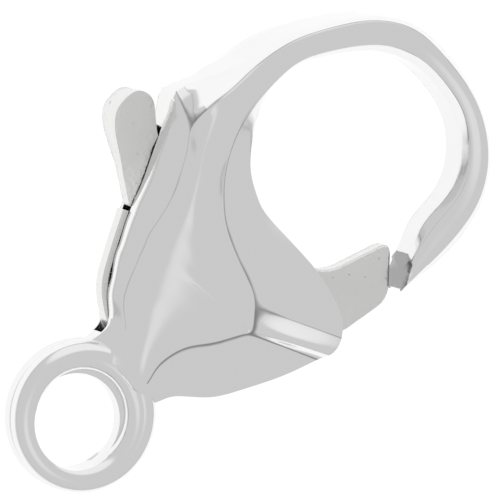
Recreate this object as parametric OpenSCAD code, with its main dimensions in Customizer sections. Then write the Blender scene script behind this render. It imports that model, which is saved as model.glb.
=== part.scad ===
// Lobster clasp, lying flat with its thickness along Z.
// The origin is the middle of the eye. X runs from the eye to the hook, Y toward the thumb lever.

/* [Eye] */
// Diameter of the hole that the jump ring goes through
eye_bore = 2.42; // [2.2:0.02:2.7]
// Diameter of the wire of each half ring
wire_d = 0.66; // [0.6:0.01:0.74]
// Distance between the middles of the two half rings
ring_pitch = 0.4; // [0.34:0.01:0.5]
// Shift of the half rings toward the neck, which makes them thicker there
ring_shift = 0.17; // [0.1:0.01:0.2]
// How far the neck's collar round the half rings is wider than them
collar = 0.09; // [0.05:0.01:0.12]

/* [Body] */
// Length from the middle of the eye to the front edge of the body
body_l = 7.04; // [6.6:0.02:7.6]
// Width across the nose and the ears
body_w = 7.6; // [7:0.05:8.2]
// Thickness over the two domed faces
body_t = 2.9; // [2.6:0.02:3.3]

/* [Hook] */
// Length from the front edge of the body to the far side of the hook
hook_l = 6.32; // [5.8:0.02:7]
// Depth of the hook's section, from its outer face to its inner wall
hook_h = 0.84; // [0.7:0.02:0.94]

/* [Lever] */
// Thickness of the gate, of its arm and of the boss
gate_t = 0.5; // [0.44:0.01:0.6]
// Thickness of the lever where it runs in the narrow slot
web_t = 0.4; // [0.37:0.01:0.42]
// Thickness of the thumb tab at its top
tab_t = 0.96; // [0.6:0.02:1.1]
// Distance from the pivot at which the thumb tab starts to flare
flare_r = 2.3; // [2.25:0.05:2.6]
// Diameter of the boss round the pivot
boss_d = 1.6; // [1.4:0.02:1.7]

/* [Pin] */
// Diameter of the pivot pin
pin_d = 0.8; // [0.6:0.02:0.9]
// Metal left between each end of the pin and the domed face
pin_cover = 0.25; // [0.2:0.01:0.4]

/* [Spring] */
// Thickness of the leaf
spring_t = 0.18; // [0.12:0.01:0.22]
// Width of the leaf
spring_w = 0.45; // [0.36:0.01:0.46]

/* [Clearances] */
// Gap on each side of the gate and the boss in their slot
gate_gap = 0.07; // [0.05:0.01:0.1]
// Gap on each side of the thin part of the lever in its slot
web_gap = 0.05; // [0.04:0.01:0.07]
// Gap between the boss and the slot round it
boss_gap = 0.12; // [0.08:0.01:0.2]
// Gap between the end of the gate and the outer corner of the hook's tip
tip_gap = 0.25; // [0.14:0.01:0.3]
// Angle in degrees by which this gap widens toward the inside of the hook
tip_lean = 10; // [0:1:14]
// Gap round the pin in the lever's bore
run_gap = 0.03; // [0.02:0.005:0.05]
// Gap round the pin in the body's two bores
seat_gap = 0.015; // [0.01:0.005:0.03]

/* [Hidden] */
$fn = 64;

// Flat that the bore cuts on the wire, so that the hole is a true cylinder
land = 0.025;
bore_r = eye_bore / 2;
ring_r = bore_r + wire_d / 2 - land;

// A place is a station along X and a height in percent. Station 0 is the middle of the ring's wire,
// 100 the front edge of the body and 200 the far side of the hook. A height is a share of body_w.
function station_x(s) = s <= 100
    ? ring_r + s / 100 * (body_l - ring_r)
    : body_l + (s - 100) / 100 * hook_l;
function spot(p) = [station_x(p[0]), p[1] / 100 * body_w];
function point(p) = [station_x(p[0]), p[1] / 100 * body_w, p[2] / 100 * body_t / 2];

// Sections of the body's near half. Each row holds five places, in the order of these names,
// and each place is its station, its height and its share of half of body_t. The last number
// is the rise of the cheek halfway between its front edge and its crease, as such a share.
FRONT = 0;
CREASE = 1;
RIDGE = 2;
SHOULDER = 3;
BACK = 4;
RISE = 5;
BODY_ROWS = [
    [[1, -12, 21], [1, -6.5, 34], [1, -1, 41], [-0.5, 10, 30], [-3, 17.5, 14], 0], // in the ring
    [[7, -14.5, 24], [7.5, -5.5, 48], [10, 2, 58], [10, 9.5, 42], [8.5, 16.5, 21], 0], // neck
    [[15, -17, 29], [17.5, -3, 56], [20, 7, 70], [15.5, 13, 47], [14.5, 18, 26], 0],
    [[27.5, -26, 36], [30.5, -4.5, 63], [32, 12, 84], [22.5, 21, 50], [21, 24.5, 29], 0], // belly
    [[43.5, -32, 43], [42, -10, 67], [40.5, 14.5, 89], [30, 25, 53], [28, 28.5, 29], 0],
    [[60, -37.5, 45], [54, -14.5, 68], [45.5, 16, 92], [36.5, 27.5, 57], [35, 32.5, 29], 0],
    [[76.5, -41.5, 46], [57.5, -16, 70], [48.5, 17.5, 93], [41.5, 29.5, 60], [40, 34.5, 29], 0], // nose
    [[83, -42.6, 61], [60.5, -15, 76], [51, 19, 94], [46, 31, 62], [44.5, 36.5, 29], 10],
    [[91.5, -42, 46], [67.5, -10.5, 70], [53.5, 20.5, 95], [49.5, 32.5, 64], [49, 38.5, 29], 0],
    [[98.5, -35.5, 46], [71, -6.5, 70], [56.5, 22, 96], [53, 33.5, 66], [53, 40, 29], 0], // flank
    [[102, -21, 46], [73.5, -0.5, 70], [60, 24.5, 97], [58, 34.5, 69], [58.5, 42, 29], 0],
    [[101.5, -6.5, 46], [76, 7, 70], [65.5, 27.5, 98], [65, 36, 72], [66.5, 44.5, 29], 0],
    [[100.5, 8.5, 44], [81, 17, 70], [71.5, 31, 100], [73, 38.5, 75], [76.5, 48.5, 29], 0],
    [[103, 16.5, 44], [88, 24.5, 70], [78.5, 35, 101], [81.5, 42, 73], [86.5, 52.5, 30], 0], // ears
    [[106, 22.5, 48], [95, 30, 71], [86, 39, 101], [89, 45.5, 72], [96, 56.5, 31], 0],
    [[110, 27, 50], [102, 34, 72], [96, 44.5, 99], [98, 50.5, 70], [104, 60.5, 32], 0],
    [[115.5, 31.5, 52], [109.5, 37.5, 74], [108, 47.5, 96], [108, 52.5, 95], [115, 57, 24], 0], // root
    [[120.5, 34.5, 50], [118.5, 40, 74], [119.5, 47, 92], [119.5, 51.5, 92], [122, 55, 41], 0],
];

// Sections of the hook: station and height of the outer face, lean of the section in degrees,
// share of hook_h, share of half of body_t for the half width, and how far in the shoulder
// lies, as a share of the depth.
LEAN = 2;
DEPTH = 3;
WIDTH = 4;
BEVEL = 5;
HOOK_ROWS = [
    [134.9, 51.6, 0, 116, 84, 6],
    [151.8, 48.8, 0, 95, 82, 6],
    [168.5, 42.2, 0, 97, 79, 6],
    [184.2, 33.6, 0, 104, 74, 8],
    [195.8, 22, 0, 110, 69, 16],
    [200, 6, 0, 92, 64, 26],
    [198.3, -14.8, 0, 86, 60, 26],
    [188.6, -32, 0, 101, 57, 26],
    [172, -43, 0, 114, 54, 26],
    [150, -47, 0, 125, 51, 26],
    [124, -45.7, -49, 116, 47, 20],
];

// Shape of the hook's section from its inner wall to its outer face: share of the depth
// and share of the half width at each of the five places. Each row sets its own shoulder.
HOOK_SHAPE = [[1, 0.55], [0.8, 0.9], [0.5, 1], [0, 0.96], [0, 0.58]];

hook_path = [for (r = HOOK_ROWS) spot(r)];
hook_n = len(HOOK_ROWS);
function unit(v) = v / norm(v);
function hook_run(i) = unit(hook_path[min(i + 1, hook_n - 1)] - hook_path[max(i - 1, 0)]);
// Direction from the hook's outer face inward, turned by the row's lean
function inward(i) = let (t = hook_run(i), a = atan2(-t[0], t[1]) + HOOK_ROWS[i][LEAN]) [cos(a), sin(a)];
function hook_place(i, k) = let (r = HOOK_ROWS[i], s = HOOK_SHAPE[k],
        d = k == SHOULDER ? r[BEVEL] / 100 : s[0],
        q = hook_path[i] + inward(i) * d * r[DEPTH] / 100 * hook_h)
    [q[0], q[1], s[1] * r[WIDTH] / 100 * body_t / 2];

places = concat(
    [for (r = BODY_ROWS) concat([for (k = [FRONT : BACK]) point(r[k])], [r[RISE] / 100 * body_t / 2])],
    [for (i = [0 : hook_n - 1]) concat([for (k = [FRONT : BACK]) hook_place(i, k)], [0])]);

// The two corners of the flat end of the hook's tip
tip_in = hook_place(hook_n - 1, FRONT);
tip_out = hook_place(hook_n - 1, BACK);

// Smooth curve through four points, from the second to the third
function curve(a, b, c, d, t) = 0.5 * (2 * b + (c - a) * t + (2 * a - 5 * b + 4 * c - d) * t * t
    + (3 * b - a - 3 * c + d) * t * t * t);
function rail(i, k, t) = let (n = len(places) - 1)
    curve(places[max(i - 1, 0)][k], places[i][k], places[min(i + 1, n)][k], places[min(i + 2, n)][k], t);

function flat(p) = [p[0], p[1], 0];
function turned(p) = [p[0], p[1], -p[2]];
// Beside the crease the dome swells. The swell lies square to the crease, at most this far off in
// millimetres and this share of the way to the ridge, and has this share of the rise to the ridge.
SWELL_RUN = 0.3;
SWELL_AT = 0.3;
SWELL_RISE = 0.42;
function swell(a, b, run) = let (
        off = min(SWELL_RUN, SWELL_AT * norm([b[0] - a[0], b[1] - a[1]])),
        t = unit([run[0], run[1]]))
    [a[0] - t[1] * off, a[1] + t[0] * off, a[2] + (b[2] - a[2]) * SWELL_RISE];
function half_ring(p, run) = [
    p[FRONT], (p[FRONT] + p[CREASE]) / 2 + [0, 0, p[RISE]],
    p[CREASE], swell(p[CREASE], p[RIDGE], run), p[RIDGE],
    (p[RIDGE] + p[SHOULDER]) / 2, p[SHOULDER],
    p[BACK]];
function whole_ring(p, run) = let (h = half_ring(p, run), n = len(h) - 1) concat(
    [flat(p[FRONT])], h, [flat(p[BACK])], [for (k = [n : -1 : 0]) turned(h[k])]);

// Sections between two rows of the tables
STEPS = 3;
lines = concat(
    [for (i = [0 : len(places) - 2]) for (s = [0 : STEPS - 1])
        [for (k = [FRONT : RISE]) rail(i, k, s / STEPS)]],
    [places[len(places) - 1]]);
lines_n = len(lines);
function crease_run(i) = lines[min(i + 1, lines_n - 1)][CREASE] - lines[max(i - 1, 0)][CREASE];
rings = [for (i = [0 : lines_n - 1]) whole_ring(lines[i], crease_run(i))];
ring_n = len(rings[0]);

// Triangles of one flat end, each from the near half of the section to the far half
function end_faces(o, flip) = let (n = ring_n, h = ring_n / 2,
        all = concat(
            [[0, 1, 2], [0, 2, n - 2], [0, n - 2, n - 1]],
            [for (k = [2 : h - 3]) for (t = [[k, k + 1, n - k - 1], [k, n - k - 1, n - k]]) t],
            [[h - 2, h - 1, h], [h - 2, h, h + 2], [h, h + 1, h + 2]]))
    [for (t = all) flip ? [t[2] + o, t[1] + o, t[0] + o] : [t[0] + o, t[1] + o, t[2] + o]];

module casting() {
    n = len(rings);
    polyhedron(
        points = [for (r = rings) for (p = r) p],
        faces = concat(
            [for (i = [0 : n - 2]) for (k = [0 : ring_n - 1]) for (h = [0, 1])
                let (a = i * ring_n, b = a + ring_n, m = (k + 1) % ring_n)
                h == 0 ? [a + m, b + k, a + k] : [b + m, b + k, a + m]],
            end_faces(0, true),
            end_faces((n - 1) * ring_n, false)));
}

// Direction in which the collar widens the ring: toward the neck and the nose
COLLAR_RUN = [0.85, -0.5];

module half_ring_wire(z, grow) {
    translate([ring_shift + COLLAR_RUN[0] * grow, COLLAR_RUN[1] * grow, z])
        rotate_extrude($fn = 96) translate([ring_r + grow, 0]) circle(d = wire_d - grow / 4, $fn = 32);
}

module eye() {
    for (side = [-1, 1]) {
        half_ring_wire(side * ring_pitch / 2, 0);
        half_ring_wire(side * ring_pitch / 2, collar);
    }
    difference() {
        cylinder(r = ring_r, h = ring_pitch, center = true, $fn = 96);
        cylinder(r = bore_r - land, h = 2 * ring_pitch, center = true, $fn = 96);
    }
}

// Pivot of the lever
PIVOT_PLACE = [77.5, 19.5];
pivot = spot(PIVOT_PLACE);
// Share of body_t between the creases of the two faces at the pivot, where the body is thinnest
pivot_depth = 0.7;
pin_l = pivot_depth * body_t - 2 * pin_cover;
gate_slot_w = gate_t + 2 * gate_gap;
web_slot_w = web_t + 2 * web_gap;

module slab(outline, w) {
    linear_extrude(height = w, center = true) polygon([for (p = outline) spot(p)]);
}

// Wide slot: round the boss, down the nose, open at the front edge and under the nose
GATE_SLOT = [
    [64, 18], [67, 6], [71, -14], [77.5, -29], [80, -37], [80, -60],
    [125, -60], [125, 11], [100, 11.5], [91, 17],
];
// Narrow slot: from the neck along the back to the ears, open at the back
WEB_SLOT = [
    [9.5, 2.5], [15, 2.5], [20, 14], [31, 21], [46, 25], [62, 19], [78, 17], [90, 27],
    [87.5, 42], [88, 49], [91, 55], [95, 61.5], [97, 66], [98, 90], [0, 90], [6, 20], [10.5, 12],
];

module slots() {
    slab(GATE_SLOT, gate_slot_w);
    translate([pivot[0], pivot[1], 0])
        cylinder(d = boss_d + 2 * boss_gap, h = gate_slot_w, center = true);
    slab(WEB_SLOT, web_slot_w);
}

module body() {
    color("silver")
    difference() {
        union() {
            casting();
            eye();
        }
        cylinder(r = bore_r, h = 2 * body_t, center = true, $fn = 96);
        slots();
        translate([pivot[0], pivot[1], 0])
            cylinder(d = pin_d + 2 * seat_gap, h = pin_l + 2 * seat_gap, center = true);
    }
}

// Outline of the arm and the gate, which runs past the tip until it is cut
GATE = [
    [64.5, 17], [73, -8], [84, -28], [92, -42.2], [145, -48.6],
    [145, -33.5], [107, -23.6], [95, -10], [87.5, 4], [89, 13],
];
// Outline of the thin part of the lever and of the thumb tab
TAB = [
    [64.5, 24], [55, 41], [64.5, 54], [71, 64.5], [75, 68.5], [79, 70.5], [86.5, 71],
    [91.5, 70], [94.3, 66.5], [94.3, 63], [86.5, 53.5], [84.5, 49], [86, 36], [89, 26],
];
TAB_TOP = [84, 71];
tab_top = spot(TAB_TOP);
// Direction from the pivot to the top of the thumb tab
tab_aim = tab_top - pivot;
// The wedge that shapes the tab ends this far beyond its top
tab_over = 0.3;
tab_r = norm(tab_aim) + tab_over;

module gate() {
    end = unit(tip_out - tip_in);
    difference() {
        slab(GATE, gate_t);
        translate([tip_out[0], tip_out[1], 0])
            rotate([0, 0, atan2(end[1], end[0]) + tip_lean])
            translate([-3 * hook_h, -tip_gap, -body_t])
            cube([5 * hook_h, 2 * hook_h, 2 * body_t]);
    }
}

module thumb_tab() {
    slab(TAB, web_t);
    intersection() {
        slab(TAB, tab_t);
        translate([pivot[0], pivot[1], 0])
            rotate([0, 0, atan2(tab_aim[1], tab_aim[0])])
            rotate([90, 0, 0])
            linear_extrude(height = 2 * body_t, center = true)
            polygon([
                [flare_r, -web_t / 2], [flare_r, web_t / 2],
                [tab_r, tab_t / 2], [tab_r, -tab_t / 2],
            ]);
    }
}

module lever() {
    color("gainsboro")
    difference() {
        union() {
            gate();
            thumb_tab();
            translate([pivot[0], pivot[1], 0])
                cylinder(d = boss_d, h = gate_t, center = true);
        }
        translate([pivot[0], pivot[1], 0])
            cylinder(d = pin_d + 2 * run_gap, h = 2 * body_t, center = true);
    }
}

// Middle line of the leaf, from its foot in the neck to its free end by the thumb tab
LEAF = [[12, 4.5], [14, 14], [17.5, 21], [24.5, 28], [37.5, 34.4], [53, 41]];
leaf_path = [for (p = LEAF) spot(p)];
leaf_n = len(LEAF);
LEAF_STEPS = 4;
leaf_line = concat(
    [for (i = [0 : leaf_n - 2]) for (s = [0 : LEAF_STEPS - 1])
        curve(leaf_path[max(i - 1, 0)], leaf_path[i], leaf_path[i + 1],
            leaf_path[min(i + 2, leaf_n - 1)], s / LEAF_STEPS)],
    [leaf_path[leaf_n - 1]]);
line_n = len(leaf_line);
function leaf_side(i, w) = let (
        t = unit(leaf_line[min(i + 1, line_n - 1)] - leaf_line[max(i - 1, 0)]))
    leaf_line[i] + [-t[1], t[0]] * w;

module leaf_spring() {
    color("lightgray")
    linear_extrude(height = spring_w, center = true)
        polygon(concat(
            [for (i = [0 : line_n - 1]) leaf_side(i, spring_t / 2)],
            [for (i = [line_n - 1 : -1 : 0]) leaf_side(i, -spring_t / 2)]));
}

module pivot_pin() {
    color("darkgray")
    translate([pivot[0], pivot[1], 0])
        cylinder(d = pin_d, h = pin_l, center = true);
}

body();
lever();
leaf_spring();
pivot_pin();
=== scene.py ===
import math
import bmesh
import bpy
from mathutils import Matrix, Vector


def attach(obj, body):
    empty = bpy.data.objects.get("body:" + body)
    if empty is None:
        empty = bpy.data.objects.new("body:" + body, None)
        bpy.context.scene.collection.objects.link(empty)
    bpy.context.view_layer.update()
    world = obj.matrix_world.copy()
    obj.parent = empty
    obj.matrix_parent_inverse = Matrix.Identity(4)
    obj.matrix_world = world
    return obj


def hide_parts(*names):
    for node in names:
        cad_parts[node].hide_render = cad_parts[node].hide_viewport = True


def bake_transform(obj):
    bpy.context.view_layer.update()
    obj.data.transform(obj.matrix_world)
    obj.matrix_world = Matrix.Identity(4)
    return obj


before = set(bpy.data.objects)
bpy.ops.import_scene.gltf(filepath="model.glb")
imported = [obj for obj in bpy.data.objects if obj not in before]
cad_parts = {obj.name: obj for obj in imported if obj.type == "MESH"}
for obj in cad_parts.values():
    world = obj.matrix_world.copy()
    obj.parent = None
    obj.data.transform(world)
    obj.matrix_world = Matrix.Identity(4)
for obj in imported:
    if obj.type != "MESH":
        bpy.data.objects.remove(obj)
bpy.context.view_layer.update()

MM = 0.001

# Sizes of the clasp, in millimetres: the eye of two half rings, the casting and the hook
EYE_BORE = 2.42
WIRE_D = 0.66
RING_PITCH = 0.4
RING_SHIFT = 0.17
COLLAR = 0.09
LAND = 0.025
BODY_L = 7.04
BODY_W = 7.6
BODY_T = 2.9
HOOK_L = 6.32
HOOK_H = 0.84
# The lever with its pin, and the spring
GATE_T = 0.5
WEB_T = 0.4
TAB_T = 0.96
FLARE_R = 2.3
BOSS_D = 1.6
PIN_D = 0.8
PIN_COVER = 0.25
PIN_SHARE = 0.7
SPRING_T = 0.18
SPRING_W = 0.45
SPRING_CORNER = 0.04
# Gaps between the pieces, and how far the gate's end leans from the face of the tip, in degrees
GATE_GAP = 0.07
WEB_GAP = 0.05
BOSS_GAP = 0.12
TIP_GAP = 0.25
TIP_LEAN = 10
RUN_GAP = 0.03
SEAT_GAP = 0.015
# Rounding of the lever's rims, of the gate's corners and of the tab's, before it gets its thickness
RIM = 0.07
GATE_CORNER = 0.32
TAB_CORNER = 0.12

BORE_R = EYE_BORE / 2
RING_R = BORE_R + WIRE_D / 2 - LAND


def spot(p):
    """Station and height in percent, as a place in the clasp's plane in millimetres."""
    s, h = p[0], p[1]
    x = RING_R + s / 100 * (BODY_L - RING_R) if s <= 100 else BODY_L + (s - 100) / 100 * HOOK_L
    return Vector((x, h / 100 * BODY_W, 0.0))


def place(p):
    """The same with a depth in percent, as a place on the near face."""
    q = spot(p)
    q.z = p[2] / 100 * BODY_T / 2
    return q


# Five rails run along the clasp: front edge, crease, ridge, shoulder and back edge. The last number of a
# row is the rise of the cheek halfway between its front edge and its crease.
FRONT, CREASE, RIDGE, SHOULDER, BACK = range(5)
BODY_ROWS = [
    [(1, -12, 21), (1, -6.5, 34), (1, -1, 41), (-0.5, 10, 30), (-3, 17.5, 14), 0],
    [(7, -14.5, 24), (7.5, -5.5, 48), (10, 2, 58), (10, 9.5, 42), (8.5, 16.5, 21), 0],
    [(15, -17, 29), (17.5, -3, 56), (20, 7, 70), (15.5, 13, 47), (14.5, 18, 26), 0],
    [(27.5, -26, 36), (30.5, -4.5, 63), (32, 12, 84), (22.5, 21, 50), (21, 24.5, 29), 0],
    [(43.5, -32, 43), (42, -10, 67), (40.5, 14.5, 89), (30, 25, 53), (28, 28.5, 29), 0],
    [(60, -37.5, 45), (54, -14.5, 68), (45.5, 16, 92), (36.5, 27.5, 57), (35, 32.5, 29), 0],
    [(76.5, -41.5, 46), (57.5, -16, 70), (48.5, 17.5, 93), (41.5, 29.5, 60), (40, 34.5, 29), 0],
    [(83, -42.6, 61), (60.5, -15, 76), (51, 19, 94), (46, 31, 62), (44.5, 36.5, 29), 10],
    [(91.5, -42, 46), (67.5, -10.5, 70), (53.5, 20.5, 95), (49.5, 32.5, 64), (49, 38.5, 29), 0],
    [(98.5, -35.5, 46), (71, -6.5, 70), (56.5, 22, 96), (53, 33.5, 66), (53, 40, 29), 0],
    [(102, -21, 46), (73.5, -0.5, 70), (60, 24.5, 97), (58, 34.5, 69), (58.5, 42, 29), 0],
    [(101.5, -6.5, 46), (76, 7, 70), (65.5, 27.5, 98), (65, 36, 72), (66.5, 44.5, 29), 0],
    [(100.5, 8.5, 44), (81, 17, 70), (71.5, 31, 100), (73, 38.5, 75), (76.5, 48.5, 29), 0],
    [(103, 16.5, 44), (88, 24.5, 70), (78.5, 35, 101), (81.5, 42, 73), (86.5, 52.5, 30), 0],
    [(106, 22.5, 48), (95, 30, 71), (86, 39, 101), (89, 45.5, 72), (96, 56.5, 31), 0],
    [(110, 27, 50), (102, 34, 72), (96, 44.5, 99), (98, 50.5, 70), (104, 60.5, 32), 0],
    [(115.5, 31.5, 52), (109.5, 37.5, 74), (108, 47.5, 96), (108, 52.5, 95), (115, 57, 24), 0],
    [(120.5, 34.5, 50), (118.5, 40, 74), (119.5, 47, 92), (119.5, 51.5, 92), (122, 55, 41), 0],
]
# The hook's rows: station, height, lean in degrees, depth and half width in percent, and how far in the
# shoulder lies, in percent of the depth.
HOOK_ROWS = [
    (134.9, 51.6, 0, 116, 84, 6),
    (151.8, 48.8, 0, 95, 82, 6),
    (168.5, 42.2, 0, 97, 79, 6),
    (184.2, 33.6, 0, 104, 74, 8),
    (195.8, 22, 0, 110, 69, 16),
    (200, 6, 0, 92, 64, 26),
    (198.3, -14.8, 0, 86, 60, 26),
    (188.6, -32, 0, 101, 57, 26),
    (172, -43, 0, 114, 54, 26),
    (150, -47, 0, 125, 51, 26),
    (124, -45.7, -49, 116, 47, 20),
]
# The hook's section: share of the depth and of the half width at each of the five places
HOOK_SHAPE = [(1, 0.55), (0.8, 0.9), (0.5, 1), (0, 0.96), (0, 0.58)]
# Beside the crease the dome swells: how far off at most, in millimetres and as a share of the way to the
# ridge, and how much of its rise it has there
SWELL_RUN, SWELL_AT, SWELL_Z = 0.3, 0.3, 0.42
# Stretches of the smooth curve between two rows
STEPS = 3


def hook_sections():
    """The five places of each of the hook's rows, set inward from its outer face."""
    path = [spot(r) for r in HOOK_ROWS]
    rows = []
    for i, r in enumerate(HOOK_ROWS):
        run = (path[min(i + 1, len(path) - 1)] - path[max(i - 1, 0)]).normalized()
        inward = Matrix.Rotation(math.radians(r[2]), 3, "Z") @ Vector((run.y, -run.x, 0))
        rows.append([
            path[i] + inward * (r[5] / 100 if k == SHOULDER else d) * r[3] / 100 * HOOK_H
            + Vector((0, 0, w * r[4] / 100 * BODY_T / 2))
            for k, (d, w) in enumerate(HOOK_SHAPE)])
    return rows


ROWS = [[place(p) for p in row[:5]] for row in BODY_ROWS] + hook_sections()
CHEEK_RISE = [row[5] / 100 * BODY_T / 2 for row in BODY_ROWS] + [0] * len(HOOK_ROWS)
FIRST_HOOK = len(BODY_ROWS)
TIP_IN, TIP_OUT = ROWS[-1][FRONT].copy(), ROWS[-1][BACK].copy()
TIP_IN.z = TIP_OUT.z = 0
PIVOT = spot((77.5, 19.5))
TAB_TOP = spot((84, 71))


def curve(a, b, c, d, t):
    """Smooth curve through four points, from the second to the third."""
    return 0.5 * (2 * b + (c - a) * t + (2 * a - 5 * b + 4 * c - d) * t * t
                  + (3 * b - a - 3 * c + d) * t * t * t)


def smooth_line(points, steps):
    """The points with a smooth curve through them."""
    last = len(points) - 1
    out = []
    for i in range(last):
        a, b = points[max(i - 1, 0)], points[i]
        c, d = points[i + 1], points[min(i + 2, last)]
        out += [curve(a, b, c, d, s / steps) for s in range(steps)]
    return out + [points[last]]


# Camera, light and floor

RIGHT = Vector((0.705, -0.592, 0.391))
TOWARD = Vector((-0.219, 0.343, 0.913)).normalized()
RIGHT = (RIGHT - TOWARD * RIGHT.dot(TOWARD)).normalized()
UP = TOWARD.cross(RIGHT)
AIM = Vector((6.008, 0.472, 1.261)) * MM
VIEW_W = 12.5 * MM
DISTANCE = 0.4
SENSOR_W = 36


def set_camera():
    data = bpy.data.cameras.new("camera")
    data.sensor_width = SENSOR_W
    data.lens = SENSOR_W * DISTANCE / VIEW_W
    data.clip_start, data.clip_end = 0.01, 4
    cam = bpy.data.objects.new("camera", data)
    bpy.context.collection.objects.link(cam)
    turn = Matrix((RIGHT, UP, TOWARD)).transposed().to_4x4()
    cam.matrix_world = Matrix.Translation(AIM + TOWARD * DISTANCE) @ turn
    bpy.context.scene.camera = cam


def linear(hex_colour, alpha=1.0):
    """An sRGB hex colour as linear RGBA."""
    parts = [int(hex_colour[i:i + 2], 16) / 255 for i in (1, 3, 5)]
    return [c / 12.92 if c <= 0.04045 else ((c + 0.055) / 1.055) ** 2.4 for c in parts] + [alpha]


def add(tree, kind, sockets=None, **settings):
    """Adds a node, sets its properties, and sets or links its inputs."""
    n = tree.nodes.new(kind)
    for key, value in settings.items():
        setattr(n, key, value)
    for key, value in (sockets or {}).items():
        if isinstance(value, bpy.types.NodeSocket):
            tree.links.new(value, n.inputs[key])
        else:
            n.inputs[key].default_value = value
    return n


PANEL_FROM = (0.807, 0.411, 0.423)
TOP_FROM = (-0.25, -0.2, 0.947)


def set_world():
    """A white tent: even all round, one brighter panel on the hook's side, a slightly brighter top and a
    darker seam where the tent meets the table."""
    world = bpy.data.worlds.new("light_tent")
    bpy.context.scene.world = world
    world.use_nodes = True
    tree = world.node_tree
    tree.nodes.clear()
    where = add(tree, "ShaderNodeTexCoord").outputs["Generated"]
    side = add(tree, "ShaderNodeVectorMath", {0: where, 1: PANEL_FROM}, operation="DOT_PRODUCT")
    panel = add(tree, "ShaderNodeMapRange", {
        "Value": side.outputs["Value"],
        "From Min": 0.72, "From Max": 0.86, "To Min": 0.0, "To Max": 0.27},
        interpolation_type="SMOOTHSTEP")
    up = add(tree, "ShaderNodeVectorMath", {0: where, 1: TOP_FROM}, operation="DOT_PRODUCT")
    top = add(tree, "ShaderNodeMapRange", {
        "Value": up.outputs["Value"], "From Min": 0.9, "From Max": 1.0, "To Min": 0.66, "To Max": 0.8},
        interpolation_type="SMOOTHSTEP")
    tone = add(tree, "ShaderNodeMath", {
        0: panel.outputs["Result"], 1: top.outputs["Result"]}, operation="ADD")
    height = add(tree, "ShaderNodeSeparateXYZ", {"Vector": where})
    seam = add(tree, "ShaderNodeMapRange", {
        "Value": height.outputs["Z"], "From Min": 0.01, "From Max": 0.07, "To Min": 0.65, "To Max": 1.0},
        interpolation_type="SMOOTHSTEP")
    back = add(tree, "ShaderNodeBackground", {
        "Color": tone.outputs["Value"], "Strength": seam.outputs["Result"]})
    add(tree, "ShaderNodeOutputWorld", {"Surface": back.outputs["Background"]})


FLOOR_HALF_W = 1.5
FLOOR_AT = Vector((6, 0, -1.46)) * MM
# The table's glow fades between these distances from where the lens aims
GLOW_FROM, GLOW_TO = 11 * MM, 18 * MM


def set_floor():
    bm = bmesh.new()
    bmesh.ops.create_grid(bm, x_segments=1, y_segments=1, size=FLOOR_HALF_W)
    bmesh.ops.translate(bm, verts=bm.verts, vec=FLOOR_AT)
    floor = to_object(bm, "floor")
    material = bpy.data.materials.new("white_paper")
    material.use_nodes = True
    tree = material.node_tree
    tree.nodes.clear()
    # A light table: a matt white sheet, lit from below round the clasp, that fades to plain pale paper.
    where = add(tree, "ShaderNodeTexCoord").outputs["Object"]
    off = add(tree, "ShaderNodeVectorMath", {0: where, 1: tuple(AIM)}, operation="DISTANCE")
    glow = add(tree, "ShaderNodeMapRange", {
        "Value": off.outputs["Value"],
        "From Min": GLOW_FROM, "From Max": GLOW_TO, "To Min": 0.9, "To Max": 0.5},
        interpolation_type="SMOOTHSTEP")
    card = add(tree, "ShaderNodeBsdfPrincipled", {
        "Base Color": linear("#7A7A7A"), "Roughness": 0.9,
        "Emission Color": linear("#FFFFFF"), "Emission Strength": glow.outputs["Result"]})
    add(tree, "ShaderNodeOutputMaterial", {"Surface": card.outputs["BSDF"]})
    floor.data.materials.append(material)


# Mesh helpers. What counts as one place and as level, in millimetres, and as an edge, in degrees
MERGE = 1e-5
LEVEL = 1e-6
EDGE_ANGLE = 35


def to_object(bm, name):
    """Makes the mesh an object at the origin, unturned and unscaled."""
    mesh = bpy.data.meshes.new(name)
    bm.to_mesh(mesh)
    bm.free()
    obj = bpy.data.objects.new(name, mesh)
    bpy.context.collection.objects.link(obj)
    return obj


def applied(obj):
    """Keeps what the object's modifiers make as its own mesh."""
    graph = bpy.context.evaluated_depsgraph_get()
    made = bpy.data.meshes.new_from_object(obj.evaluated_get(graph))
    old = obj.data
    obj.modifiers.clear()
    obj.data = made
    made.name = obj.name
    bpy.data.meshes.remove(old)


def to_corners(mesh, name):
    """Moves an attribute from the vertices to the face corners, where a cut keeps it."""
    values = [0.0] * len(mesh.vertices)
    mesh.attributes[name].data.foreach_get("value", values)
    mesh.attributes.remove(mesh.attributes[name])
    made = mesh.attributes.new(name, "FLOAT", "CORNER")
    made.data.foreach_set("value", [values[loop.vertex_index] for loop in mesh.loops])


def carve(obj, others, operation):
    """Joins the others to the piece or cuts them from it, and removes them."""
    for other in others:
        step = obj.modifiers.new(other.name, "BOOLEAN")
        step.operation, step.solver, step.object = operation, "EXACT", other
    applied(obj)
    for other in others:
        bpy.data.objects.remove(other)


def skin(bm, sections):
    """Bridges closed sections that follow each other, with a face on both ends. Returns the rings of
    vertices."""
    rings, loops = [], []
    for section in sections:
        ring = [bm.verts.new(p) for p in section]
        rings.append(ring)
        loops.append([bm.edges.new((v, ring[(k + 1) % len(ring)])) for k, v in enumerate(ring)])
    for a, b in zip(loops, loops[1:]):
        bmesh.ops.bridge_loops(bm, edges=a + b)
    for loop in (loops[0], loops[-1]):
        bmesh.ops.edgeloop_fill(bm, edges=loop)
    bmesh.ops.recalc_face_normals(bm, faces=bm.faces)
    return rings


def rounded(bm, geom, offset, segments, affect):
    bmesh.ops.bevel(bm, geom=geom, offset=offset, offset_type="OFFSET", segments=segments,
                    profile=0.5, affect=affect, material=-1, clamp_overlap=True)


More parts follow.
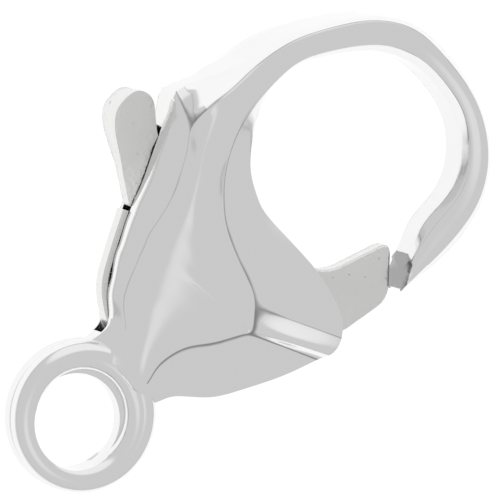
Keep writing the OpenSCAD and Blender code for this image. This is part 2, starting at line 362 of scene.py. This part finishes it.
def thickened(bm, thickness):
    """Gives a flat outline its thickness, half of it to each side."""
    grown = bmesh.ops.extrude_face_region(bm, geom=bm.faces[:])
    risen = [v for v in grown["geom"] if isinstance(v, bmesh.types.BMVert)]
    bmesh.ops.translate(bm, vec=(0, 0, thickness), verts=risen)
    bmesh.ops.translate(bm, vec=(0, 0, -thickness / 2), verts=bm.verts)


def slab(outline, thickness, name, soft=0.0, corners=0.0, cut=None):
    """A flat plate through the outline's places, with rounded corners and softened edges."""
    bm = bmesh.new()
    bm.faces.new([bm.verts.new(p) for p in outline])
    if cut:
        bmesh.ops.bisect_plane(bm, geom=bm.verts[:] + bm.edges[:] + bm.faces[:], dist=MERGE,
                               plane_co=cut[0], plane_no=cut[1], clear_outer=True)
    if corners:
        rounded(bm, bm.verts[:], corners, 4, "VERTICES")
    thickened(bm, thickness)
    bmesh.ops.recalc_face_normals(bm, faces=bm.faces)
    if soft:
        rim = [e for e in bm.edges if abs(e.verts[0].co.z - e.verts[1].co.z) < LEVEL]
        rounded(bm, rim, soft, 3, "EDGES")
    return to_object(bm, name)


def drum(radius, height, at, name, segments=96):
    bm = bmesh.new()
    bmesh.ops.create_cone(bm, cap_ends=True, segments=segments, radius1=radius, radius2=radius,
                          depth=height)
    bmesh.ops.translate(bm, verts=bm.verts, vec=at)
    return to_object(bm, name)


def shade(obj):
    obj.data.shade_smooth()
    obj.data.set_sharp_from_angle(angle=math.radians(EDGE_ANGLE))


# The casting: how crisp the edge along each place of a section is, on the body and on the hook
BODY_CREASE = {1: 0.9, 3: 0.85, 7: 0.55, 8: 0.9}
HOOK_CREASE = {1: 0.6, 3: 0.3, 7: 0.6, 8: 0.4}
TIP_CREASE = 0.85
# Sections over which the one changes to the other, before the first of the hook's
CREASE_FADE = 6
# Rows with a crisp crossing line, from one place to another, with its crispness and how much painted
# shade it
# gets: both sides of the nose rib, and the ear's end
CROSS_CREASE = {6: (1, 3, 0.85, 1.0), 8: (1, 3, 0.75, 0.95), 15: (7, 8, 1.0, 0.96)}
# How much painted shade some places get, from one row to another: the bottom of a fold is painted grey,
# where shade falls.
RAIL_SHADE = [(3, 1, 7, 1.0), (3, 8, 20, 0.97), (3, 21, 28, 0.95), (7, 2, 14, 0.93), (7, 15, 23, 0.98)]


def ring_of(p, run, rise):
    """The eighteen places round a section, from its front over the near side to its back."""
    cheek = (p[FRONT] + p[CREASE]) / 2
    cheek.z += rise
    off = min(SWELL_RUN, SWELL_AT * (p[RIDGE] - p[CREASE]).xy.length)
    swell = p[CREASE] + Vector((-run.y, run.x, 0)).normalized() * off
    swell.z = p[CREASE].z + (p[RIDGE].z - p[CREASE].z) * SWELL_Z
    crown = (p[RIDGE] + p[SHOULDER]) / 2
    half = [p[FRONT], cheek, p[CREASE], swell, p[RIDGE], crown, p[SHOULDER], p[BACK]]
    flat = Vector((1, 1, 0))
    far = [q * Vector((1, 1, -1)) for q in reversed(half)]
    return [p[FRONT] * flat] + half + [p[BACK] * flat] + far


def make_casting():
    rails = [smooth_line([row[k] for row in ROWS], STEPS) for k in range(5)]
    rise = smooth_line(CHEEK_RISE, STEPS)
    last = len(rise) - 1
    run = [rails[CREASE][min(i + 1, last)] - rails[CREASE][max(i - 1, 0)] for i in range(last + 1)]
    sections = [ring_of([rail[i] for rail in rails], run[i], rise[i]) for i in range(last + 1)]
    bm = bmesh.new()
    # A vertex attribute for painted shade: how grey the bottoms of folds and the tip's end face are
    # painted
    painted_shade = bm.verts.layers.float.new("painted_shade")
    crease = bm.edges.layers.float.new("crease_edge")
    rings = skin(bm, sections)
    joint = FIRST_HOOK * STEPS
    around = len(sections[0])
    for i in range(len(rings) - 1):
        share = min(max((i - joint + CREASE_FADE) / CREASE_FADE, 0), 1)
        for k in range(around):
            rail = min(k, around - k)
            edge = bm.edges.get((rings[i][k], rings[i + 1][k]))
            if edge is None:
                raise RuntimeError("the casting's skin is twisted at section %d" % i)
            edge[crease] = (1 - share) * BODY_CREASE.get(rail, 0) + share * HOOK_CREASE.get(rail, 0)
    for rail, first, end, depth in RAIL_SHADE:
        for ring in rings[first * STEPS:end * STEPS + STEPS]:
            ring[rail][painted_shade] = ring[around - rail][painted_shade] = depth
    for row, (first, end, crisp, depth) in CROSS_CREASE.items():
        ring = rings[row * STEPS]
        for k in range(first, end):
            for a, b in ((k, k + 1), (around - k, around - k - 1)):
                bm.edges.get((ring[a], ring[b]))[crease] = crisp
        for k in range(first, end + 1):
            for near, share in ((-1, 0.5), (0, 1.0), (1, 0.5)):
                beside = rings[row * STEPS + near]
                for v in (beside[k], beside[around - k]):
                    v[painted_shade] = max(v[painted_shade], depth * share)
    # The end of the tip is sawn off. Its face gets the full painted shade, as dark as the bottom of a
    # fold.
    for k, v in enumerate(rings[-1]):
        bm.edges.get((v, rings[-1][(k + 1) % around]))[crease] = TIP_CREASE
        v[painted_shade] = 1.0
    casting = to_object(bm, "clasp_body")
    smooth = casting.modifiers.new("smooth", "SUBSURF")
    smooth.levels = smooth.render_levels = 2
    return casting


# How far a grown half ring is set toward the neck, as shares of its growth
COLLAR_SET = Vector((0.85, -0.5, 0))


def make_half_ring(z, grow):
    """One half of the eye's ring. A grown one is wider and set toward the neck, so that the ring thickens
    there."""
    bm = bmesh.new()
    bmesh.ops.create_circle(bm, segments=28, radius=WIRE_D / 2)
    bmesh.ops.rotate(bm, verts=bm.verts, cent=(0, 0, 0), matrix=Matrix.Rotation(math.pi / 2, 3, "X"))
    bmesh.ops.translate(bm, verts=bm.verts, vec=(RING_R + grow, 0, z))
    bmesh.ops.spin(bm, geom=bm.verts[:] + bm.edges[:], cent=(0, 0, z), axis=(0, 0, 1),
                   angle=2 * math.pi, steps=128, use_merge=True)
    bmesh.ops.remove_doubles(bm, verts=bm.verts, dist=MERGE)
    bmesh.ops.translate(bm, verts=bm.verts, vec=Vector((RING_SHIFT, 0, 0)) + COLLAR_SET * grow)
    bmesh.ops.recalc_face_normals(bm, faces=bm.faces)
    return to_object(bm, "half_ring")


# The boss's slot is this much deeper than the gate's, so that no two faces of the cuts fall together
A_HAIR_MORE = 1.0001
# Outlines of the two slots, in percent. They are cut through the casting's back and front.
GATE_SLOT = [(64, 18), (67, 6), (71, -14), (77.5, -29), (80, -37), (80, -60),
             (125, -60), (125, 11), (100, 11.5), (91, 17)]
WEB_SLOT = [(9.5, 2.5), (15, 2.5), (20, 14), (31, 21), (46, 25), (62, 19), (78, 17), (90, 27),
            (87.5, 42), (88, 49), (91, 55), (95, 61.5), (97, 66), (98, 90), (0, 90), (6, 20), (10.5, 12)]


def make_body():
    body = make_casting()
    applied(body)
    # The painted shade attribute moves to the face corners, so that the cuts keep it
    to_corners(body.data, "painted_shade")
    land = drum(RING_R, RING_PITCH, (0, 0, 0), "land")
    wires = [make_half_ring(side * RING_PITCH / 2, grow) for side in (1, -1) for grow in (0, COLLAR)]
    carve(body, wires + [land], "UNION")
    gate_slot = GATE_T + 2 * GATE_GAP
    pin_l = PIN_SHARE * BODY_T - 2 * PIN_COVER
    carve(body, [
        drum(BORE_R, 2 * BODY_T, (0, 0, 0), "eye_bore", 128),
        slab([spot(p) for p in GATE_SLOT], gate_slot, "gate_slot"),
        drum(BOSS_D / 2 + BOSS_GAP, gate_slot * A_HAIR_MORE, PIVOT, "boss_slot"),
        slab([spot(p) for p in WEB_SLOT], WEB_T + 2 * WEB_GAP, "web_slot"),
        drum(PIN_D / 2 + SEAT_GAP, pin_l + 2 * SEAT_GAP, PIVOT, "pin_seats"),
    ], "DIFFERENCE")
    return finished(body, "body")


# The lever: outlines of its gate, which the cut at the tip shortens, and of its tab, in percent
GATE = [(64.5, 17), (73, -8), (84, -28), (92, -42.2), (145, -48.6),
        (145, -33.5), (107, -23.6), (95, -10), (87.5, 4), (89, 13)]
TAB = [(64.5, 24), (55, 41), (64.5, 54), (71, 64.5), (75, 68.5), (79, 70.5), (86.5, 71),
       (91.5, 70), (94.3, 66.5), (94.3, 63), (86.5, 53.5), (84.5, 49), (86, 36), (89, 26)]
# Cuts across the tab where it flares, and the angle from which an edge of it is a rim, in degrees
FLARE_CUTS = 8
RIM_ANGLE = 50


def make_gate():
    """The gate arm, cut off beside the hook's tip."""
    end = (TIP_OUT - TIP_IN).normalized()
    away = Matrix.Rotation(math.radians(TIP_LEAN), 3, "Z") @ Vector((-end.y, end.x, 0))
    return slab([spot(p) for p in GATE], GATE_T, "lever", soft=RIM, corners=GATE_CORNER,
                cut=(TIP_OUT - away * TIP_GAP, away))


def make_tab():
    """The thumb tab: a thin web that flares to a broad rounded top above the ears."""
    aim = TAB_TOP - PIVOT
    top = aim.length
    aim.normalize()
    bm = bmesh.new()
    bm.faces.new([bm.verts.new(spot(p)) for p in TAB])
    rounded(bm, bm.verts[:], TAB_CORNER, 3, "VERTICES")
    thickened(bm, 1)
    for k in range(FLARE_CUTS + 1):
        along = FLARE_R + (top - FLARE_R) * k / FLARE_CUTS
        bmesh.ops.bisect_plane(bm, geom=bm.verts[:] + bm.edges[:] + bm.faces[:], dist=MERGE,
                               plane_co=PIVOT + aim * along, plane_no=aim)
    for v in bm.verts:
        share = min(max(((v.co - PIVOT).dot(aim) - FLARE_R) / (top - FLARE_R), 0), 1)
        v.co.z *= WEB_T + (TAB_T - WEB_T) * share
    bmesh.ops.recalc_face_normals(bm, faces=bm.faces)
    rim = [e for e in bm.edges if e.is_manifold and e.calc_face_angle(0) > math.radians(RIM_ANGLE)]
    rounded(bm, rim, RIM, 3, "EDGES")
    return to_object(bm, "thumb_tab")


def make_lever():
    lever = make_gate()
    carve(lever, [make_tab(), drum(BOSS_D / 2, GATE_T, PIVOT, "boss")], "UNION")
    carve(lever, [drum(PIN_D / 2 + RUN_GAP, 2 * BODY_T, PIVOT, "lever_bore")], "DIFFERENCE")
    return finished(lever, "lever")


# The leaf spring: its line from the foot in the neck to the end on the lever, in percent
LEAF = [(12, 4.5), (14, 14), (17.5, 21), (24.5, 28), (37.5, 34.4), (53, 41)]
LEAF_STEPS = 6


def make_leaf_spring():
    """A strip with broken corners, swept along its line."""
    line = smooth_line([spot(p) for p in LEAF], LEAF_STEPS)
    outline = []
    for sx, sy in ((1, 1), (-1, 1), (-1, -1), (1, -1)):
        a, b = SPRING_T / 2 * sx, SPRING_W / 2 * sy
        ends = [(a - SPRING_CORNER * sx, b), (a, b - SPRING_CORNER * sy)]
        outline += ends[::-1] if sx * sy > 0 else ends
    sections = []
    for i, p in enumerate(line):
        run = (line[min(i + 1, len(line) - 1)] - line[max(i - 1, 0)]).normalized()
        side = Vector((-run.y, run.x, 0))
        sections.append([p + side * a + Vector((0, 0, b)) for a, b in outline])
    bm = bmesh.new()
    skin(bm, sections)
    spring = finished(to_object(bm, "spring_leaf"), "leaf_spring")
    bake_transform(spring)
    return spring


def finished(obj, node):
    """Scales the piece from millimetres, smooths it and lets it stand for its CAD node."""
    obj.data.transform(Matrix.Scale(MM, 4))
    obj.data.materials.clear()
    obj.data.materials.append(FINISH[node])
    shade(obj)
    obj.name = "%s_piece" % node
    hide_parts(node)
    return obj


# Finishes. Patterns are given by their real size: a scale of PER_MM / 0.4 has marks 0.4 mm apart.
PER_MM = 1 / MM
# Inputs of the Mix node where it mixes colours
MIX_A, MIX_B = 6, 7


def new_finish(name):
    material = bpy.data.materials.new(name)
    material.use_nodes = True
    material.node_tree.nodes.clear()
    return material, material.node_tree


def polished_silver():
    """Sterling silver, cast, tumbled and buffed: almost a mirror, with faint waves and hairlines from the
    wheel. The hairlines are drawn 0.06 mm apart, coarser than real ones, so that they show."""
    material, tree = new_finish("polished_sterling_silver")
    at = add(tree, "ShaderNodeTexCoord").outputs["Object"]
    haze = add(tree, "ShaderNodeTexNoise", {"Vector": at, "Scale": PER_MM / 0.8, "Detail": 3.0})
    rough = add(tree, "ShaderNodeMapRange", {
        "Value": haze.outputs["Fac"], "To Min": 0.07, "To Max": 0.16})
    stretch = add(tree, "ShaderNodeMapping", {
        "Vector": at, "Rotation": (0.2, 0.1, 0.6), "Scale": (0.12, 1.0, 1.0)})
    hairline = add(tree, "ShaderNodeTexNoise", {
        "Vector": stretch.outputs["Vector"], "Scale": PER_MM / 0.06, "Detail": 2.0})
    wave = add(tree, "ShaderNodeTexNoise", {"Vector": at, "Scale": PER_MM / 1.2, "Detail": 1.0})
    low = add(tree, "ShaderNodeBump", {
        "Height": wave.outputs["Fac"], "Strength": 0.12, "Distance": 0.05 * MM})
    bump = add(tree, "ShaderNodeBump", {
        "Height": hairline.outputs["Fac"], "Normal": low.outputs["Normal"],
        "Strength": 0.06, "Distance": 0.01 * MM})
    # Painted shade: the bottoms of the folds and the tip's end face are painted grey, with a little
    # random variation from the haze.
    painted_shade = add(tree, "ShaderNodeAttribute", attribute_name="painted_shade")
    depth = add(tree, "ShaderNodeMath", {
        0: haze.outputs["Fac"], 1: 0.06, 2: painted_shade.outputs["Fac"]}, operation="MULTIPLY_ADD")
    shade_mask = add(tree, "ShaderNodeMapRange", {
        "Value": depth.outputs["Value"],
        "From Min": 0.91, "From Max": 1.03, "To Min": 0.0, "To Max": 1.0},
        interpolation_type="SMOOTHSTEP")
    # Mixes the metal's colour toward the grey of the painted shade
    colour = add(tree, "ShaderNodeMix", {
        "Factor": shade_mask.outputs["Result"], MIX_A: linear("#F1F1F1"), MIX_B: linear("#9C9C9C")},
        data_type="RGBA")
    metal = add(tree, "ShaderNodeBsdfPrincipled", {
        "Base Color": colour.outputs[2], "Metallic": 1.0,
        "Roughness": rough.outputs["Result"], "Normal": bump.outputs["Normal"]})
    add(tree, "ShaderNodeOutputMaterial", {"Surface": metal.outputs["BSDF"]})
    return material


def tumbled_silver():
    """The same silver as it comes from the tumbler: softer gloss and small casting pits."""
    material, tree = new_finish("tumbled_sterling_silver")
    at = add(tree, "ShaderNodeTexCoord").outputs["Object"]
    haze = add(tree, "ShaderNodeTexNoise", {"Vector": at, "Scale": PER_MM / 0.4, "Detail": 4.0})
    rough = add(tree, "ShaderNodeMapRange", {"Value": haze.outputs["Fac"], "To Min": 0.16, "To Max": 0.3})
    grain = add(tree, "ShaderNodeTexNoise", {"Vector": at, "Scale": PER_MM / 0.12, "Detail": 3.0})
    bump = add(tree, "ShaderNodeBump", {
        "Height": grain.outputs["Fac"], "Strength": 0.45, "Distance": 0.04 * MM})
    # Only the grain's highest spots are pits: a few grey points on each side.
    pit = add(tree, "ShaderNodeMapRange", {
        "Value": grain.outputs["Fac"], "From Min": 0.66, "From Max": 0.8, "To Min": 0.0, "To Max": 1.0},
        interpolation_type="SMOOTHSTEP")
    colour = add(tree, "ShaderNodeMix", {
        "Factor": pit.outputs["Result"], MIX_A: linear("#E9E9E8"), MIX_B: linear("#A2A2A0")},
        data_type="RGBA")
    metal = add(tree, "ShaderNodeBsdfPrincipled", {
        "Base Color": colour.outputs[2], "Metallic": 1.0,
        "Roughness": rough.outputs["Result"], "Normal": bump.outputs["Normal"]})
    add(tree, "ShaderNodeOutputMaterial", {"Surface": metal.outputs["BSDF"]})
    return material


def spring_strip():
    """Rolled stainless strip: fine lines along its length and a satin sheen. The lines are drawn 0.05 mm
    apart, as coarse as they need to be to show."""
    material, tree = new_finish("rolled_spring_strip")
    at = add(tree, "ShaderNodeTexCoord").outputs["Object"]
    stretch = add(tree, "ShaderNodeMapping", {
        "Vector": at, "Rotation": (0, 0, -0.7), "Scale": (0.1, 1.0, 1.0)})
    line = add(tree, "ShaderNodeTexNoise", {
        "Vector": stretch.outputs["Vector"], "Scale": PER_MM / 0.05, "Detail": 2.0})
    rough = add(tree, "ShaderNodeMapRange", {"Value": line.outputs["Fac"], "To Min": 0.2, "To Max": 0.34})
    bump = add(tree, "ShaderNodeBump", {
        "Height": line.outputs["Fac"], "Strength": 0.04, "Distance": 0.001 * MM})
    metal = add(tree, "ShaderNodeBsdfPrincipled", {
        "Base Color": linear("#EAEAE9"), "Metallic": 1.0,
        "Roughness": rough.outputs["Result"], "Normal": bump.outputs["Normal"]})
    add(tree, "ShaderNodeOutputMaterial", {"Surface": metal.outputs["BSDF"]})
    return material


SILVER = polished_silver()
FINISH = {"body": SILVER, "lever": tumbled_silver(), "leaf_spring": spring_strip(), "pivot_pin": SILVER}

bpy.context.scene.view_settings.view_transform = "Standard"
set_camera()
set_world()
set_floor()
body_piece = make_body()
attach(body_piece, "body")
lever_piece = make_lever()
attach(lever_piece, "lever")
spring_piece = make_leaf_spring()

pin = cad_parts["pivot_pin"]
pin.data.materials.clear()
pin.data.materials.append(FINISH["pivot_pin"])
